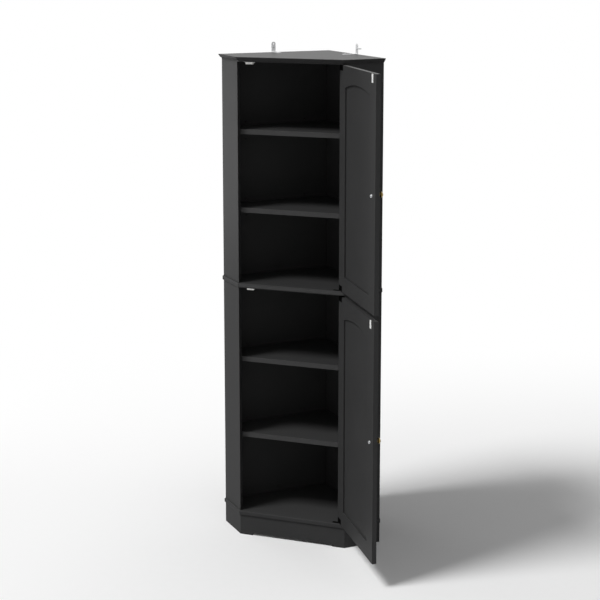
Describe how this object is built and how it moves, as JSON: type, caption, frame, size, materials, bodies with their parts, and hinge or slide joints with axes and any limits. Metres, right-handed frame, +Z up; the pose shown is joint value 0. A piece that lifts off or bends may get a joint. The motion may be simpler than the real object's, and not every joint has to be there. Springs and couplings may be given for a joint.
{
  "type": "corner cabinet",
  "caption": "Tall corner cabinet with stacked sections, adjustable shelves, moulded crown, feet on the plinth and inset doors with arched panels, fixed back to the walls with brackets.",
  "frame": {"origin": "the room corner at floor level, where the planes of the two wall faces meet", "axes": "+Z up; the front faces -Y; the walls run from the origin at 45 degrees to the left (-X, -Y) and to the right (+X, -Y)"},
  "size_m": [0.7401, 0.7282, 1.831],
  "materials": {
    "painted_board": "fibreboard painted charcoal, satin",
    "black_metal": "black, satin",
    "white_plastic": "white moulded",
    "white_metal": "white coated strike",
    "brass": "polished and lacquered",
    "steel": "zinc plated",
    "beech": "plain"
  },
  "bodies": {
    "carcass": {"bottom_board": "painted_board", "bracket_screws": "steel", "cam_bolts": "steel", "cam_discs": "steel", "catch_poles": "steel", "catch_screws": "steel", "crown_board": "painted_board", "dowels": "beech", "left_wall_bracket": "steel", "lower_bottom_pivot_plate": "black_metal", "lower_catch": "white_plastic", "lower_left_return": "painted_board", "lower_left_wall_panel": "painted_board", "lower_right_return": "painted_board", "lower_right_wall_panel": "painted_board", "lower_shelf_high": "painted_board", "lower_shelf_low": "painted_board", "lower_shelf_pins": "steel", "lower_top_pivot_plate": "black_metal", "middle_board": "painted_board", "pivot_plate_screws": "black_metal", "plinth_front": "painted_board", "plinth_left_return": "painted_board", "plinth_left_wall_rail": "painted_board", "plinth_right_return": "painted_board", "plinth_right_wall_rail": "painted_board", "right_wall_bracket": "steel", "upper_bottom_pivot_plate": "black_metal", "upper_catch": "white_plastic", "upper_left_return": "painted_board", "upper_left_wall_panel": "painted_board", "upper_right_return": "painted_board", "upper_right_wall_panel": "painted_board", "upper_shelf_high": "painted_board", "upper_shelf_low": "painted_board", "upper_shelf_pins": "steel", "upper_top_pivot_plate": "black_metal", "wall_screws": "steel"},
    "upper_door": {"upper_bottom_pivot_leaf": "black_metal", "upper_door_bottom_rail": "painted_board", "upper_door_hinge_stile": "painted_board", "upper_door_latch_stile": "painted_board", "upper_door_panel": "painted_board", "upper_door_screws": "black_metal", "upper_door_top_rail": "painted_board", "upper_knob": "brass", "upper_knob_screw": "steel", "upper_strike": "white_metal", "upper_top_pivot_leaf": "black_metal"},
    "lower_door": {"lower_bottom_pivot_leaf": "black_metal", "lower_door_bottom_rail": "painted_board", "lower_door_hinge_stile": "painted_board", "lower_door_latch_stile": "painted_board", "lower_door_panel": "painted_board", "lower_door_screws": "black_metal", "lower_door_top_rail": "painted_board", "lower_knob": "brass", "lower_knob_screw": "steel", "lower_strike": "white_metal", "lower_top_pivot_leaf": "black_metal"}
  },
  "joints": [
    {"name": "upper_door_hinge", "type": "hinge", "parent": "carcass", "child": "upper_door", "pos_m": [0.18927, -0.40283, 1.3715], "axis": [0, 0, 1], "range_deg": [-125.2, 1.8]},
    {"name": "lower_door_hinge", "type": "hinge", "parent": "carcass", "child": "lower_door", "pos_m": [0.18927, -0.40283, 0.5215], "axis": [0, 0, 1], "range_deg": [-125.2, 1.8]}
  ]
}
